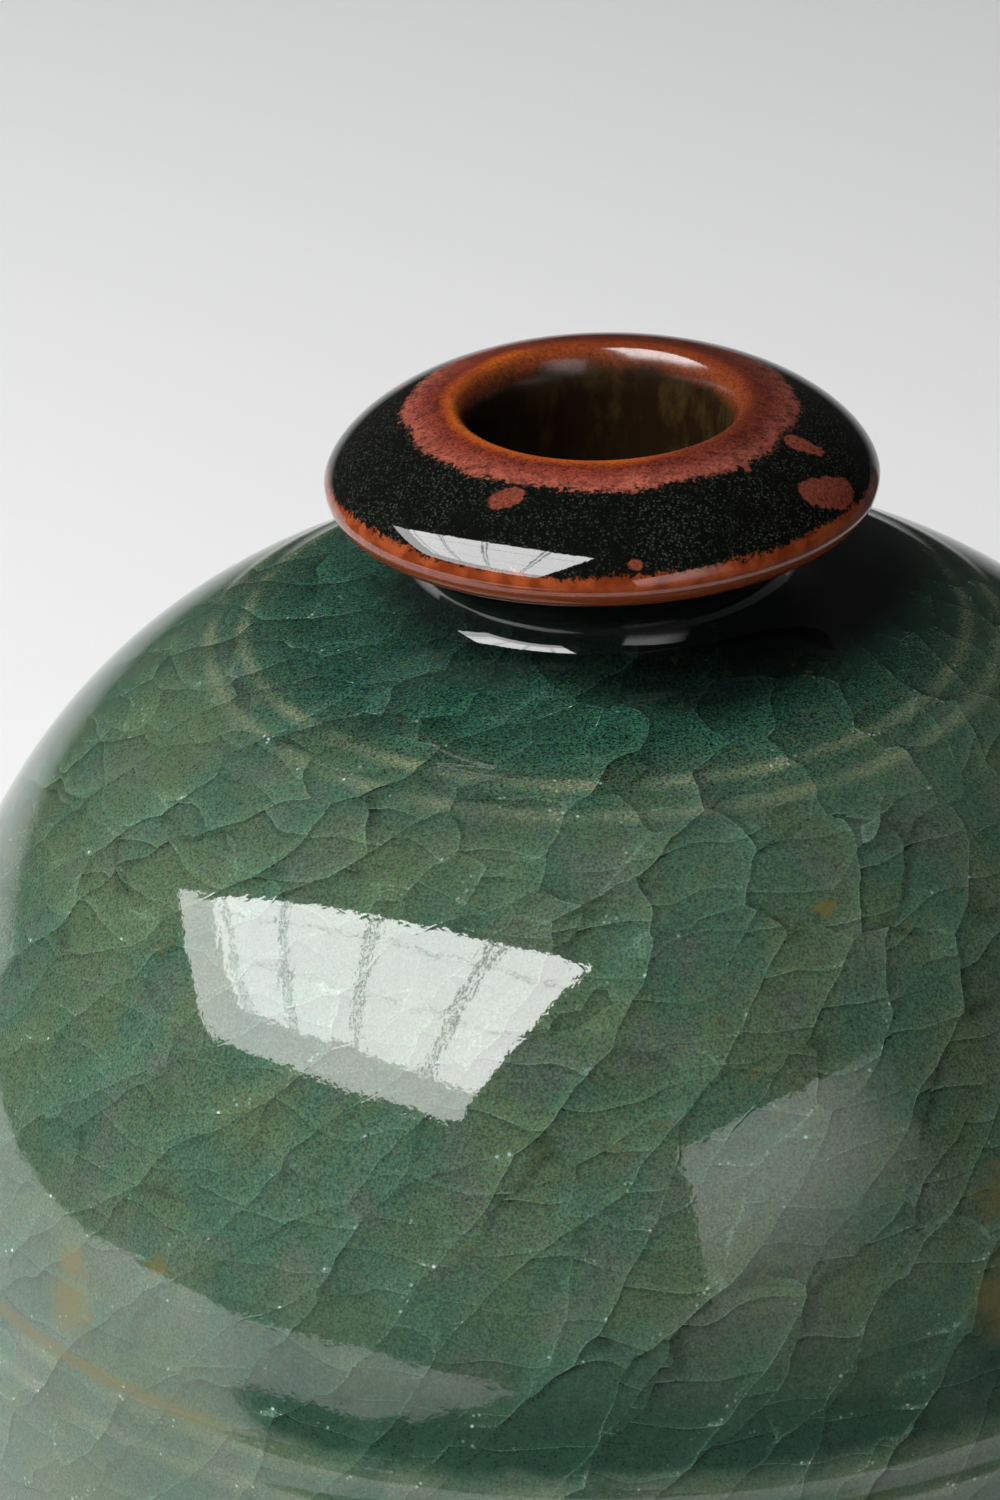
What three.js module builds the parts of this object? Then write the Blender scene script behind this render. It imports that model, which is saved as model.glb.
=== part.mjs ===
// A squat celadon bud vase with a saucer-shaped mouth collar, in millimetres, +Z up, foot at z = 0.
// It is thrown in sections and luted together: foot ring, lower body, shoulder and mouth collar.
// Over the clay lie green celadon on the body, black iron glaze on the collar, neck and throat,
// a liner glaze in the chamber and a little celadon in the well of the foot.
// Every piece is turned about Z.
import * as THREE from "three";

// Body, measured over the glaze: a quarter curve above the belly and another below it
const BELLY_R = 57.5;
const DOME_HEIGHT = 61.2;
const DOME_CENTRE_R = 12.6;
const DOME_POWER = 2.28;
const BOWL_HEIGHT = 36.2;
const BOWL_POWER = 2.1;
const UNDERSIDE_Z = 4.2;

// Throat, neck and collar, measured over the glaze
const THROAT_R = 9.6;
const MOUTH_FLARE = 1.1;
const NECK_WALL = 3.8;
const NECK_FILLET = 5.0;
const FILLET_SWEEP = 85;
const NECK_HEIGHT = 10.1;
const COLLAR_REACH = 7.6;
const COLLAR_RISE = 6.0;
const COLLAR_POWER = 1.55;
const NOSE_ROUND = 1.0;
const LIP_ROUND = 0.7;

// Thrown clay
const CLAY_WALL = 4.0;
const FLOOR = 5.0;
const SPIGOT_WALL = 2.2;
const COLLAR_RECESS = 2.0;
const JOINT_RISE = 11.6;
const TONGUE_WIDTH = 1.6;
const TONGUE_DEPTH = 2.4;
const TONGUE_TAPER = 0.6;

// Foot ring
const FOOT_OUTER_R = 33.5;
const FOOT_WIDTH = 5.0;
const FOOT_BEVEL = 0.9;

// Thickness of each glaze, and the clearance between pieces that touch
const CELADON = 0.9;
const IRON = 0.4;
const LINER = 0.5;
const SEAT = 0.3;

// Raised string lines: two above the belly, by height over it, and two round the shoulder, by radius
const BELLY_LINE_RISES = [14.0, 17.0];
const SHOULDER_LINE_RADII = [30.4, 27.7];
const LINE_HEIGHT = 0.45;
const LINE_WIDTH = 1.7;

// Facets round the vase, and steps up the curves of dome, bowl and collar
const SIDES = 36;
const DOME_STEPS = 7;
const BOWL_STEPS = 5;
const COLLAR_STEPS = 6;

const QUARTER = Math.PI / 2;
const BELLY_Z = UNDERSIDE_Z + BOWL_HEIGHT;
const SHOULDER_Z = BELLY_Z + DOME_HEIGHT;
const NOSE_Z = SHOULDER_Z + NECK_HEIGHT;
const NECK_R = THROAT_R + NECK_WALL;
const NOSE_R = NECK_R + COLLAR_REACH;
const LIP_CREST_R = THROAT_R + MOUTH_FLARE + LIP_ROUND;
const BODY_CLAY_DEPTH = CELADON + SEAT;
const CHAMBER_DEPTH = BODY_CLAY_DEPTH + CLAY_WALL;
const COLLAR_CLAY_DEPTH = IRON + SEAT;
const FLOOR_UNDERSIDE_Z = UNDERSIDE_Z + BODY_CLAY_DEPTH;
const FLOOR_TOP_Z = FLOOR_UNDERSIDE_Z + FLOOR;
const CEILING_Z = SHOULDER_Z - CHAMBER_DEPTH;
const JOINT_Z = BELLY_Z + JOINT_RISE;
const SPIGOT_R = THROAT_R + COLLAR_CLAY_DEPTH + SPIGOT_WALL;

const point = (r, z) => new THREE.Vector2(r, z);
const fractions = (steps) => Array.from({ length: steps + 1 }, (_, i) => i / steps);
const radians = THREE.MathUtils.degToRad;
const signedPower = (x, power) => Math.sign(x) * Math.abs(x) ** power;

// Quarter superellipses: the dome and the bowl at a depth below the glaze, which meet at the belly,
// and the top of the collar from its nose up to the crest of the lip
const dome = (depth) => ({
  base: BELLY_Z,
  centre: DOME_CENTRE_R,
  reach: BELLY_R - depth - DOME_CENTRE_R,
  rise: DOME_HEIGHT - depth,
  power: DOME_POWER,
});
const bowl = (depth) => ({
  base: BELLY_Z,
  centre: FOOT_OUTER_R,
  reach: BELLY_R - depth - FOOT_OUTER_R,
  rise: BOWL_HEIGHT - depth,
  power: BOWL_POWER,
});
const collarTop = {
  base: NOSE_Z,
  centre: LIP_CREST_R,
  reach: NOSE_R - LIP_CREST_R,
  rise: COLLAR_RISE,
  power: COLLAR_POWER,
};

const onCurve = (curve, angle) =>
  point(
    curve.centre + curve.reach * signedPower(Math.cos(angle), 2 / curve.power),
    curve.base + curve.rise * signedPower(Math.sin(angle), 2 / curve.power),
  );
const angleAtRadius = (curve, r) =>
  Math.acos(signedPower((r - curve.centre) / curve.reach, curve.power / 2));
const angleAtHeight = (curve, z) =>
  Math.asin(signedPower((z - curve.base) / curve.rise, curve.power / 2));

// Where the collar's fillet lands on the shoulder, and where the shoulder's side of that seam starts
const FILLET_CENTRE_R = NECK_R + NECK_FILLET;
const COLLAR_FOOT_R = FILLET_CENTRE_R - NECK_FILLET * Math.cos(radians(FILLET_SWEEP));
const SEAM_R = COLLAR_FOOT_R + SEAT;

// Every face of the body turns its corners at the same angles, so the faces stay parallel
const STEP = 1e-3;
const jointStation = { angle: angleAtHeight(dome(0), JOINT_Z), lift: 0 };

function lineStations(crest) {
  const curve = dome(0);
  const perRadian = onCurve(curve, crest + STEP).distanceTo(onCurve(curve, crest - STEP)) / (2 * STEP);
  const half = LINE_WIDTH / 2 / perRadian;
  return [
    { angle: crest - half, lift: 0 },
    { angle: crest, lift: LINE_HEIGHT },
    { angle: crest + half, lift: 0 },
  ];
}

function stationsAround(marks) {
  const top = angleAtRadius(dome(0), SEAM_R);
  const even = fractions(DOME_STEPS).map((k) => ({ angle: k * top, lift: 0 }));
  const clear = even.filter((station) =>
    marks.every((mark) => Math.abs(mark.angle - station.angle) > radians(2)),
  );
  return [...clear, ...marks].sort((a, b) => a.angle - b.angle);
}

const smoothStations = stationsAround([jointStation]);
const linedStations = stationsAround([
  jointStation,
  ...BELLY_LINE_RISES.flatMap((rise) => lineStations(angleAtHeight(dome(0), BELLY_Z + rise))),
  ...SHOULDER_LINE_RADII.flatMap((r) => lineStations(angleAtRadius(dome(0), r))),
]);

// A face of the dome from one angle up to another, through the stations that lie between
function domeFace(depth, stations, from, to) {
  const curve = dome(depth);
  const between = stations.filter(({ angle }) => angle > from + STEP && angle < to - STEP);
  return [{ angle: from, lift: 0 }, ...between, { angle: to, lift: 0 }].map(({ angle, lift }) => {
    const ahead = onCurve(curve, angle + STEP);
    const behind = onCurve(curve, angle - STEP);
    const normal = point(ahead.y - behind.y, behind.x - ahead.x).normalize();
    return onCurve(curve, angle).addScaledVector(normal, lift);
  });
}

// A face of the bowl from an angle below the belly up to the belly
function bowlFace(curve, from) {
  const between = fractions(BOWL_STEPS)
    .map((k) => -QUARTER * (1 - k))
    .filter((angle) => angle > from + radians(2));
  return [from, ...between].map((angle) => onCurve(curve, angle));
}

const arc = (centre, radius, fromDegrees, toDegrees, steps) =>
  fractions(steps).map((k) => {
    const angle = radians(fromDegrees + (toDegrees - fromDegrees) * k);
    return point(centre.x + radius * Math.cos(angle), centre.y + radius * Math.sin(angle));
  });

// A profile moved sideways, to the left of the way it runs, which is into the clay
function inset(profile, depth) {
  return profile.map((here, i) => {
    const sides = [profile.slice(i - 1, i + 1), profile.slice(i, i + 2)]
      .filter((pair) => pair.length === 2)
      .map(([start, end]) => point(start.y - end.y, end.x - start.x).normalize());
    const mean = sides.reduce((sum, side) => sum.add(side), point(0, 0)).normalize();
    return here.clone().addScaledVector(mean, depth / mean.dot(sides[0]));
  });
}

// The collar over its glaze: from the shoulder up the neck, out to the nose, over the lip, down the throat
function collarProfile() {
  const foot = onCurve(dome(0), angleAtRadius(dome(0), COLLAR_FOOT_R));
  const filletCentre = point(FILLET_CENTRE_R, foot.y + NECK_FILLET * Math.sin(radians(FILLET_SWEEP)));
  const fillet = arc(filletCentre, NECK_FILLET, 180 + FILLET_SWEEP, 180, 4);
  const neckTop = fillet.at(-1);
  const nose = arc(point(NOSE_R - NOSE_ROUND, NOSE_Z), NOSE_ROUND, -70, 0, 2);
  const cove = new THREE.QuadraticBezierCurve(
    neckTop,
    point(NECK_R, THREE.MathUtils.lerp(neckTop.y, nose[0].y, 0.35)),
    nose[0],
  ).getPoints(3);
  const top = fractions(COLLAR_STEPS).map((k) => onCurve(collarTop, k * QUARTER));
  const lip = arc(point(LIP_CREST_R, NOSE_Z + COLLAR_RISE - LIP_ROUND), LIP_ROUND, 90, 180, 3);
  const throat = [point(THROAT_R, NOSE_Z - NOSE_ROUND), point(THROAT_R, CEILING_Z)];
  return [...fillet, ...cove.slice(1), ...nose.slice(1), ...top.slice(1), ...lip.slice(1), ...throat];
}

// Turns a closed anticlockwise profile about Z
function turned(name, profile, material) {
  const startsOnAxis = profile[0].x === 0 && profile.at(-1).x === 0;
  const outline = startsOnAxis ? profile : [...profile, profile[0].clone()];
  const geometry = new THREE.LatheGeometry(outline, SIDES);
  geometry.rotateX(QUARTER);
  const mesh = new THREE.Mesh(geometry, material);
  mesh.name = name;
  return mesh;
}

// The shoulder's tongue drops into the lower body's groove, in the middle of the wall
const outerWall = dome(BODY_CLAY_DEPTH);
const chamberWall = dome(CHAMBER_DEPTH);
const jointOutside = onCurve(outerWall, angleAtHeight(outerWall, JOINT_Z));
const jointInside = onCurve(chamberWall, angleAtHeight(chamberWall, JOINT_Z));
const jointMiddleR = (jointOutside.x + jointInside.x) / 2;

function lowerBody() {
  const halfGroove = TONGUE_WIDTH / 2 + SEAT;
  const grooveZ = JOINT_Z - TONGUE_DEPTH;
  const well = { ...bowl(CHAMBER_DEPTH), rise: BELLY_Z - FLOOR_TOP_Z };
  return [
    point(0, FLOOR_UNDERSIDE_Z),
    ...bowlFace(bowl(BODY_CLAY_DEPTH), -QUARTER),
    jointOutside,
    point(jointMiddleR + halfGroove, JOINT_Z),
    point(jointMiddleR + halfGroove * TONGUE_TAPER, grooveZ),
    point(jointMiddleR - halfGroove * TONGUE_TAPER, grooveZ),
    point(jointMiddleR - halfGroove, JOINT_Z),
    jointInside,
    ...bowlFace(well, -QUARTER).reverse(),
    point(0, FLOOR_TOP_Z),
  ];
}

function shoulder() {
  const rimZ = JOINT_Z + SEAT;
  const holeR = SPIGOT_R + SEAT;
  const halfTongue = TONGUE_WIDTH / 2;
  const tongueZ = rimZ - TONGUE_DEPTH;
  const outside = domeFace(
    BODY_CLAY_DEPTH,
    linedStations,
    angleAtHeight(outerWall, rimZ),
    angleAtRadius(outerWall, SEAM_R),
  );
  const inside = domeFace(
    CHAMBER_DEPTH,
    smoothStations,
    angleAtHeight(chamberWall, rimZ),
    angleAtRadius(chamberWall, holeR),
  );
  const ledgeZ = outside.at(-1).y - COLLAR_RECESS;
  return [
    ...outside,
    point(SEAM_R, ledgeZ),
    point(holeR, ledgeZ),
    ...inside.reverse(),
    point(jointMiddleR - halfTongue, rimZ),
    point(jointMiddleR - halfTongue * TONGUE_TAPER, tongueZ),
    point(jointMiddleR + halfTongue * TONGUE_TAPER, tongueZ),
    point(jointMiddleR + halfTongue, rimZ),
  ];
}

// The collar's spigot drops through the shoulder, and its flange rests in the shoulder's recess
function mouthCollar() {
  const outside = inset(collarProfile(), COLLAR_CLAY_DEPTH);
  const seamTop = onCurve(outerWall, angleAtRadius(outerWall, SEAM_R));
  const flangeZ = seamTop.y - COLLAR_RECESS + SEAT;
  return [
    point(SPIGOT_R, CEILING_Z),
    point(SPIGOT_R, flangeZ),
    point(outside[0].x, flangeZ),
    ...outside,
  ];
}

const ironGlaze = () => [...collarProfile(), ...inset(collarProfile(), IRON).reverse()];

function celadonGlaze() {
  const startR = FOOT_OUTER_R + SEAT;
  const face = (depth) => [
    ...bowlFace(bowl(depth), -angleAtRadius(bowl(depth), startR)).slice(0, -1),
    ...domeFace(depth, linedStations, 0, angleAtRadius(dome(depth), SEAM_R)),
  ];
  return [...face(0), ...face(CELADON).reverse()];
}

function linerGlaze() {
  const face = (depth) => {
    const wall = dome(CHAMBER_DEPTH + depth);
    const well = { ...bowl(CHAMBER_DEPTH + depth), rise: BELLY_Z - FLOOR_TOP_Z - depth };
    return [
      ...bowlFace(well, -QUARTER).slice(0, -1),
      ...domeFace(CHAMBER_DEPTH + depth, smoothStations, 0, angleAtRadius(wall, SEAM_R)),
      point(THROAT_R, CEILING_Z - depth),
    ];
  };
  return [
    point(0, FLOOR_TOP_Z + SEAT),
    ...face(SEAT),
    ...face(SEAT + LINER).reverse(),
    point(0, FLOOR_TOP_Z + SEAT + LINER),
  ];
}

function footRing() {
  const top = FLOOR_UNDERSIDE_Z - SEAT;
  const inner = FOOT_OUTER_R - FOOT_WIDTH;
  return [
    point(inner + FOOT_BEVEL, 0),
    point(FOOT_OUTER_R - FOOT_BEVEL, 0),
    point(FOOT_OUTER_R, FOOT_BEVEL),
    point(FOOT_OUTER_R, top),
    point(inner, top),
    point(inner, FOOT_BEVEL),
  ];
}

function footWellGlaze() {
  const top = FLOOR_UNDERSIDE_Z - SEAT;
  const edge = FOOT_OUTER_R - FOOT_WIDTH - SEAT;
  return [point(0, top - LINER), point(edge - LINER, top - LINER), point(edge, top), point(0, top)];
}

const finish = (color, roughness) =>
  new THREE.MeshStandardMaterial({ color, roughness, metalness: 0 });
const bareStoneware = finish(0x9a7a5c, 0.85);
const coveredStoneware = finish(0xa88f74, 0.9);
const greenCeladon = finish(0x3d5f4b, 0.08);
const blackIron = finish(0x16120f, 0.07);
const oliveLiner = finish(0x3a3a22, 0.15);

const vase = new THREE.Group();
vase.add(
  turned("foot_ring", footRing(), bareStoneware),
  turned("lower_body", lowerBody(), coveredStoneware),
  turned("shoulder", shoulder(), coveredStoneware),
  turned("mouth_collar", mouthCollar(), coveredStoneware),
  turned("celadon_glaze", celadonGlaze(), greenCeladon),
  turned("iron_glaze", ironGlaze(), blackIron),
  turned("liner_glaze", linerGlaze(), oliveLiner),
  turned("foot_well_glaze", footWellGlaze(), greenCeladon),
);

export default vase;
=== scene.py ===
"""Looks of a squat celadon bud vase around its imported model: glazes, bare foot, table, lamps and camera.

Lengths are millimetres until a mesh or a lamp is made, and +Z is the vase's axis.
"""
import math
from functools import reduce
from operator import add

import bpy
import numpy as np
from mathutils import Matrix, Vector


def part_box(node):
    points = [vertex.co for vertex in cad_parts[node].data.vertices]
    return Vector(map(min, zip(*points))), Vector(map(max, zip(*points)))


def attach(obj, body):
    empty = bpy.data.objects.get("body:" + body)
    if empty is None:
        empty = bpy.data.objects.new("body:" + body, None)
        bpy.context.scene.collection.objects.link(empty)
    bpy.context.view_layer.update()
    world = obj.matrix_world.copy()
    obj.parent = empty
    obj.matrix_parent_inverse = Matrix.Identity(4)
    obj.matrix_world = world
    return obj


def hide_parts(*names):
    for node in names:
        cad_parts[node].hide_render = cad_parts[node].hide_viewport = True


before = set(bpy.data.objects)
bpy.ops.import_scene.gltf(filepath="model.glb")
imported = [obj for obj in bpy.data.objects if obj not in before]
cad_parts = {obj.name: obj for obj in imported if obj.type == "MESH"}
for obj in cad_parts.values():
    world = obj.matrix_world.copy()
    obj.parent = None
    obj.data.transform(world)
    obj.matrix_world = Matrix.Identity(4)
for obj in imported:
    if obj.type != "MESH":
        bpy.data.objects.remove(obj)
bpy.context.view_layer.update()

MM = 0.001
QUARTER = math.pi / 2

# The vase's own curves, as its model has them
BELLY_Z = 40.4
DOME_HEIGHT = 61.2
DOME_CENTRE_R = 12.6
DOME_POWER = 2.28
BOWL_POWER = 2.1
NOSE_Z = 111.7
NOSE_ROUND = 1.0
NOSE_DROP = 1.6
COLLAR_POWER = 1.55
NECK_R = 13.4
NECK_FILLET = 5.0
FILLET_RISE = 3.7
FILLET_SWEEP = 85
THROAT_R = 9.6
LIP_CREST_R = 11.4
LIP_INNER_Z = 113.4
CLAY_WALL = 4.0
SEAT = 0.3
CELADON = 0.9
IRON = 0.4
LINER = 0.5

# Raised string lines: heights of the two at the belly, radii of the two round the shoulder
BELLY_LINES_Z = [54.4, 57.4]
SHOULDER_LINES_R = [30.4, 27.7]
SHOULDER_LINE_HEIGHT = 0.06
BELLY_LINE_HEIGHT = 0.05
LINE_HALF_WIDTH = 1.2

# Camera: how far it stands from the middle of the collar's nose, and where that lies in the picture
PICTURE_WIDE = 1000
PICTURE_HIGH = 1500
SENSOR = 36.0
LENS = 134.4
CAMERA_PITCH = 27.07
CAMERA_ROLL = -1.75
CAMERA_DISTANCE = 423.6
AIM_Z = 110.7
AIM_PIXEL_X = 602.0
AIM_PIXEL_Y = 484.1


def box_mm(node):
    """The low and the high corner of a node's box."""
    return [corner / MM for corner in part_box(node)]


coat_low, coat_high = box_mm("celadon_glaze")
iron_low, iron_high = box_mm("iron_glaze")
ring_low, ring_high = box_mm("foot_ring")
well_low, well_high = box_mm("foot_well_glaze")
liner_low = box_mm("liner_glaze")[0]
BELLY_R = coat_high.x
UNDERSIDE_Z = coat_low.z
NOSE_R = iron_high.x
LIP_Z = iron_high.z
FOOT_R = ring_high.x


# Shapes

SIDES = 360
SHARP_EDGE = 50

# Points of a curve before it is paced
LONG_CURVE = 900
SHORT_CURVE = 200
NOSE_CURVE = 60
THROAT_LINE = 30
WELL_LINE = 90
LAND_CURVE = 8

# How far apart the points of a paced profile lie
BODY_STEP = 0.9
LINE_STEP = 0.2
LINE_MARGIN = 1.3
BODY_INNER_STEP = 4.0
COLLAR_STEP = 0.34
EDGE_STEP = 0.11
COLLAR_INNER_STEP = 0.7
LINER_STEP = 1.6

# The collar: degrees that the nose turns under, the lean of the cove, and where points lie closer
NOSE_SWEEP = 70
COVE_LEAN = 0.3
EDGE_REACH = 1.8

# The foot ring, and the faint rings of turning in its well
FOOT_WALL = 5.0
LAND_ROUND = 1.1
WELL_LIFT = 0.06
TURNING_HEIGHT = 0.04
TURNING_PITCH = 1.7
TURNING_FADE = 60

THROWN_SWAY = 0.05


def signed_power(value, power):
    return np.sign(value) * np.abs(value) ** power


def quarter_curve(centre, base, reach, rise, power, start, end, steps=LONG_CURVE):
    """Points (r, z) of a quarter superellipse between two angles."""
    angle = np.linspace(start, end, steps)
    return np.column_stack(
        [
            centre + reach * signed_power(np.cos(angle), 2 / power),
            base + rise * signed_power(np.sin(angle), 2 / power),
        ]
    )


def arc(centre, radius, start, end, steps):
    angle = np.radians(np.linspace(start, end, steps))
    return np.column_stack([centre[0] + radius * np.cos(angle), centre[1] + radius * np.sin(angle)])


def bend(start, middle, end, steps):
    """A quadratic curve from start to end that leans towards middle."""
    t = np.linspace(0, 1, steps)[:, None]
    return (1 - t) ** 2 * start + 2 * t * (1 - t) * middle + t**2 * end


def paced(points, pace):
    """The same line, with its points a pace apart, which is a length or goes by radius and height."""
    steps = np.linalg.norm(np.diff(points, axis=0), axis=1)
    middle = (points[1:] + points[:-1]) / 2
    length = pace(middle[:, 0], middle[:, 1]) if callable(pace) else pace
    count = np.concatenate([[0], np.cumsum(steps / length)])
    wanted = np.linspace(0, count[-1], int(math.ceil(count[-1])) + 1)
    return np.column_stack([np.interp(wanted, count, points[:, i]) for i in (0, 1)])


def outward(points):
    """Unit normals on the right of the way that a line of (r, z) points runs."""
    along = np.gradient(points, axis=0)
    along /= np.linalg.norm(along, axis=1)[:, None]
    return np.column_stack([along[:, 1], -along[:, 0]])


def turned(name, profile, material, shape=None, sides=SIDES):
    """A closed mesh turned about Z from a closed profile; shape moves points by angle, radius, height."""
    on_axis = profile[0][0] == 0 and profile[-1][0] == 0
    ring = profile[1:-1] if on_axis else profile
    angle = np.linspace(0, 2 * math.pi, sides, endpoint=False)[:, None]
    r = np.repeat(ring[None, :, 0], sides, axis=0)
    z = np.repeat(ring[None, :, 1], sides, axis=0)
    if shape:
        r, z = shape(angle, r, z)
    places = np.stack([r * np.sin(angle), -r * np.cos(angle), z], axis=-1).reshape(-1, 3)
    wide = ring.shape[0]
    here = np.arange(sides)[:, None] * wide + np.arange(wide)[None, :]
    beside = np.roll(here, -1, axis=0)
    last = wide - 1 if on_axis else wide
    above, beside_above = np.roll(here, -1, axis=1), np.roll(beside, -1, axis=1)
    quads = np.stack([here, beside, beside_above, above], axis=-1)[:, :last].reshape(-1, 4).tolist()
    if on_axis:
        first_pole = len(places)
        poles = [[0, 0, profile[0][1]], [0, 0, profile[-1][1]]]
        places = np.vstack([places, poles])
        quads += [[first_pole, int(after), int(at)] for at, after in zip(here[:, 0], beside[:, 0])]
        quads += [[first_pole + 1, int(at), int(after)] for at, after in zip(here[:, -1], beside[:, -1])]
    mesh = bpy.data.meshes.new(name)
    mesh.from_pydata((places * MM).tolist(), [], quads)
    mesh.validate()
    mesh.polygons.foreach_set("use_smooth", [True] * len(mesh.polygons))
    mesh.set_sharp_from_angle(angle=math.radians(SHARP_EDGE))
    mesh.materials.append(material)
    piece = bpy.data.objects.new(name, mesh)
    bpy.context.scene.collection.objects.link(piece)
    return piece


def dome(depth, to_r=0.0):
    """The dome's face at a depth under the glaze, up to a radius."""
    points = quarter_curve(
        DOME_CENTRE_R, BELLY_Z, BELLY_R - depth - DOME_CENTRE_R, DOME_HEIGHT - depth, DOME_POWER, 0, QUARTER
    )
    return points[points[:, 0] >= to_r]


def bowl(depth, from_r):
    """The bowl's face at a depth under the glaze, from a radius underneath up to the belly."""
    rise = BELLY_Z - UNDERSIDE_Z - depth
    points = quarter_curve(FOOT_R, BELLY_Z, BELLY_R - depth - FOOT_R, rise, BOWL_POWER, -QUARTER, 0)
    return points[points[:, 0] >= from_r]


# The foot of the collar's fillet lies on the dome, where both glazes meet
FILLET_FOOT_R = NECK_R + NECK_FILLET - NECK_FILLET * math.cos(math.radians(FILLET_SWEEP))
FILLET_FOOT_Z = float(np.interp(-FILLET_FOOT_R, -dome(0)[:, 0], dome(0)[:, 1]))


def body_face(depth, foot_r, seam_r):
    return np.vstack([bowl(depth, foot_r)[:-1], dome(depth, to_r=seam_r)])


def on_shoulder(z):
    return z > BELLY_Z + DOME_HEIGHT / 2


def line_distance(r, z):
    """How far a point of the body lies from the nearest raised string line, along the wall."""
    shoulder = np.min([np.abs(r - line) for line in SHOULDER_LINES_R], axis=0)
    belly = np.min([np.abs(z - line) for line in BELLY_LINES_Z], axis=0)
    return np.where(on_shoulder(z), shoulder, belly)


def lined(points):
    """The body's face with its string lines raised on it."""
    distance = line_distance(points[:, 0], points[:, 1]) / LINE_HALF_WIDTH
    height = np.where(on_shoulder(points[:, 1]), SHOULDER_LINE_HEIGHT, BELLY_LINE_HEIGHT)
    lift = height * np.cos(np.clip(distance, 0, 1) * QUARTER) ** 2
    return points + outward(points) * lift[:, None]


def thrown(angle, r, z):
    """The slight sway that a thrown wall keeps, always inwards."""
    sway = 0.5 + 0.3 * np.cos(2 * angle + 0.7 + z / 40) + 0.2 * np.cos(3 * angle - z / 25)
    return r - THROWN_SWAY * sway * np.clip(r / BELLY_R, 0, 1), z


def body_coat():
    def pace(r, z):
        return np.where(line_distance(r, z) < LINE_MARGIN * LINE_HALF_WIDTH, LINE_STEP, BODY_STEP)

    outside = lined(paced(body_face(0, FOOT_R + SEAT, FILLET_FOOT_R), pace))
    inside = paced(body_face(CELADON, FOOT_R + SEAT, FILLET_FOOT_R), BODY_INNER_STEP)
    return np.vstack([outside, inside[::-1]])


def collar_face():
    """The collar over its glaze: up the neck, out to the nose, over the lip and down the throat."""
    fillet_start = -math.radians(FILLET_SWEEP)
    fillet_base = FILLET_FOOT_Z - FILLET_RISE * math.sin(fillet_start)
    fillet = quarter_curve(
        NECK_R + NECK_FILLET, fillet_base, -NECK_FILLET, FILLET_RISE, 2.0, fillet_start, 0, SHORT_CURVE
    )
    nose_start = -math.radians(NOSE_SWEEP)
    nose = quarter_curve(
        NOSE_R - NOSE_ROUND, NOSE_Z, NOSE_ROUND, NOSE_DROP, 2.0, nose_start, 0, NOSE_CURVE
    )
    lean = np.array([NECK_R, fillet[-1][1] + COVE_LEAN * (nose[0][1] - fillet[-1][1])])
    cove = bend(fillet[-1], lean, nose[0], SHORT_CURVE)
    top = quarter_curve(LIP_CREST_R, NOSE_Z, NOSE_R - LIP_CREST_R, LIP_Z - NOSE_Z, COLLAR_POWER, 0, QUARTER)
    lip = quarter_curve(
        LIP_CREST_R, LIP_INNER_Z, THROAT_R - LIP_CREST_R, LIP_Z - LIP_INNER_Z, 2.0, QUARTER, 0, SHORT_CURVE
    )
    throat = np.array([[THROAT_R, z] for z in np.linspace(LIP_INNER_Z, iron_low.z, THROAT_LINE)])
    return np.vstack([fillet, cove[1:], nose[1:], top[1:], lip[1:], throat[1:]])


def collar_coat():
    def pace(r, z):
        nose = np.hypot(r - NOSE_R + NOSE_ROUND, z - NOSE_Z) < EDGE_REACH
        lip = np.hypot(r - LIP_CREST_R, z - LIP_Z) < EDGE_REACH
        return np.where(nose | lip, EDGE_STEP, COLLAR_STEP)

    outside = paced(collar_face(), pace)
    inside = paced(collar_face(), COLLAR_INNER_STEP)
    inside = inside - outward(inside) * IRON
    return np.vstack([outside, inside[::-1]])


def chamber_face(depth):
    """The chamber's wall under the liner, from the middle of the floor up to the throat."""
    wall = CELADON + SEAT + CLAY_WALL + SEAT + depth
    floor_z = liner_low.z + depth
    well = quarter_curve(
        FOOT_R, BELLY_Z, BELLY_R - wall - FOOT_R, BELLY_Z - floor_z, BOWL_POWER, -QUARTER, 0
    )
    return np.vstack([[[0, floor_z]], well[:-1], dome(wall, to_r=THROAT_R)])


def liner_coat():
    outside = paced(chamber_face(LINER), LINER_STEP)
    inside = paced(chamber_face(2 * LINER), LINER_STEP)
    outside[0][0] = 0
    inside[0][0] = 0
    return np.vstack([outside, inside[::-1]])


def foot_profile():
    """The turned ring, with a flat land between two rounded edges."""
    inner = FOOT_R - FOOT_WALL
    edge_z = ring_low.z + LAND_ROUND
    return np.vstack(
        [
            arc((inner + LAND_ROUND, edge_z), LAND_ROUND, 180, 270, LAND_CURVE),
            arc((FOOT_R - LAND_ROUND, edge_z), LAND_ROUND, 270, 360, LAND_CURVE),
            [[FOOT_R, ring_high.z], [inner, ring_high.z]],
        ]
    )


def well_profile():
    """The glaze in the foot's well over the faint rings of its turning."""
    r = np.linspace(0, well_high.x, WELL_LINE)
    rings = TURNING_HEIGHT * np.cos(r / TURNING_PITCH * math.pi) * np.exp(-r / TURNING_FADE)
    under = np.column_stack([r, well_low.z + WELL_LIFT + rings])
    top = np.array([[well_high.x, well_high.z], [0, well_high.z]])
    return np.vstack([under, top])


# Finishes

WIDE_SOCKETS = ("VECTOR", "RGBA")
HALF = (0.5, 0.5, 0.5)


def is_wide(value):
    """True for a vector or a colour, False for a single number."""
    if isinstance(value, Tone):
        return value.socket.type in WIDE_SOCKETS
    return isinstance(value, (tuple, list))


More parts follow.
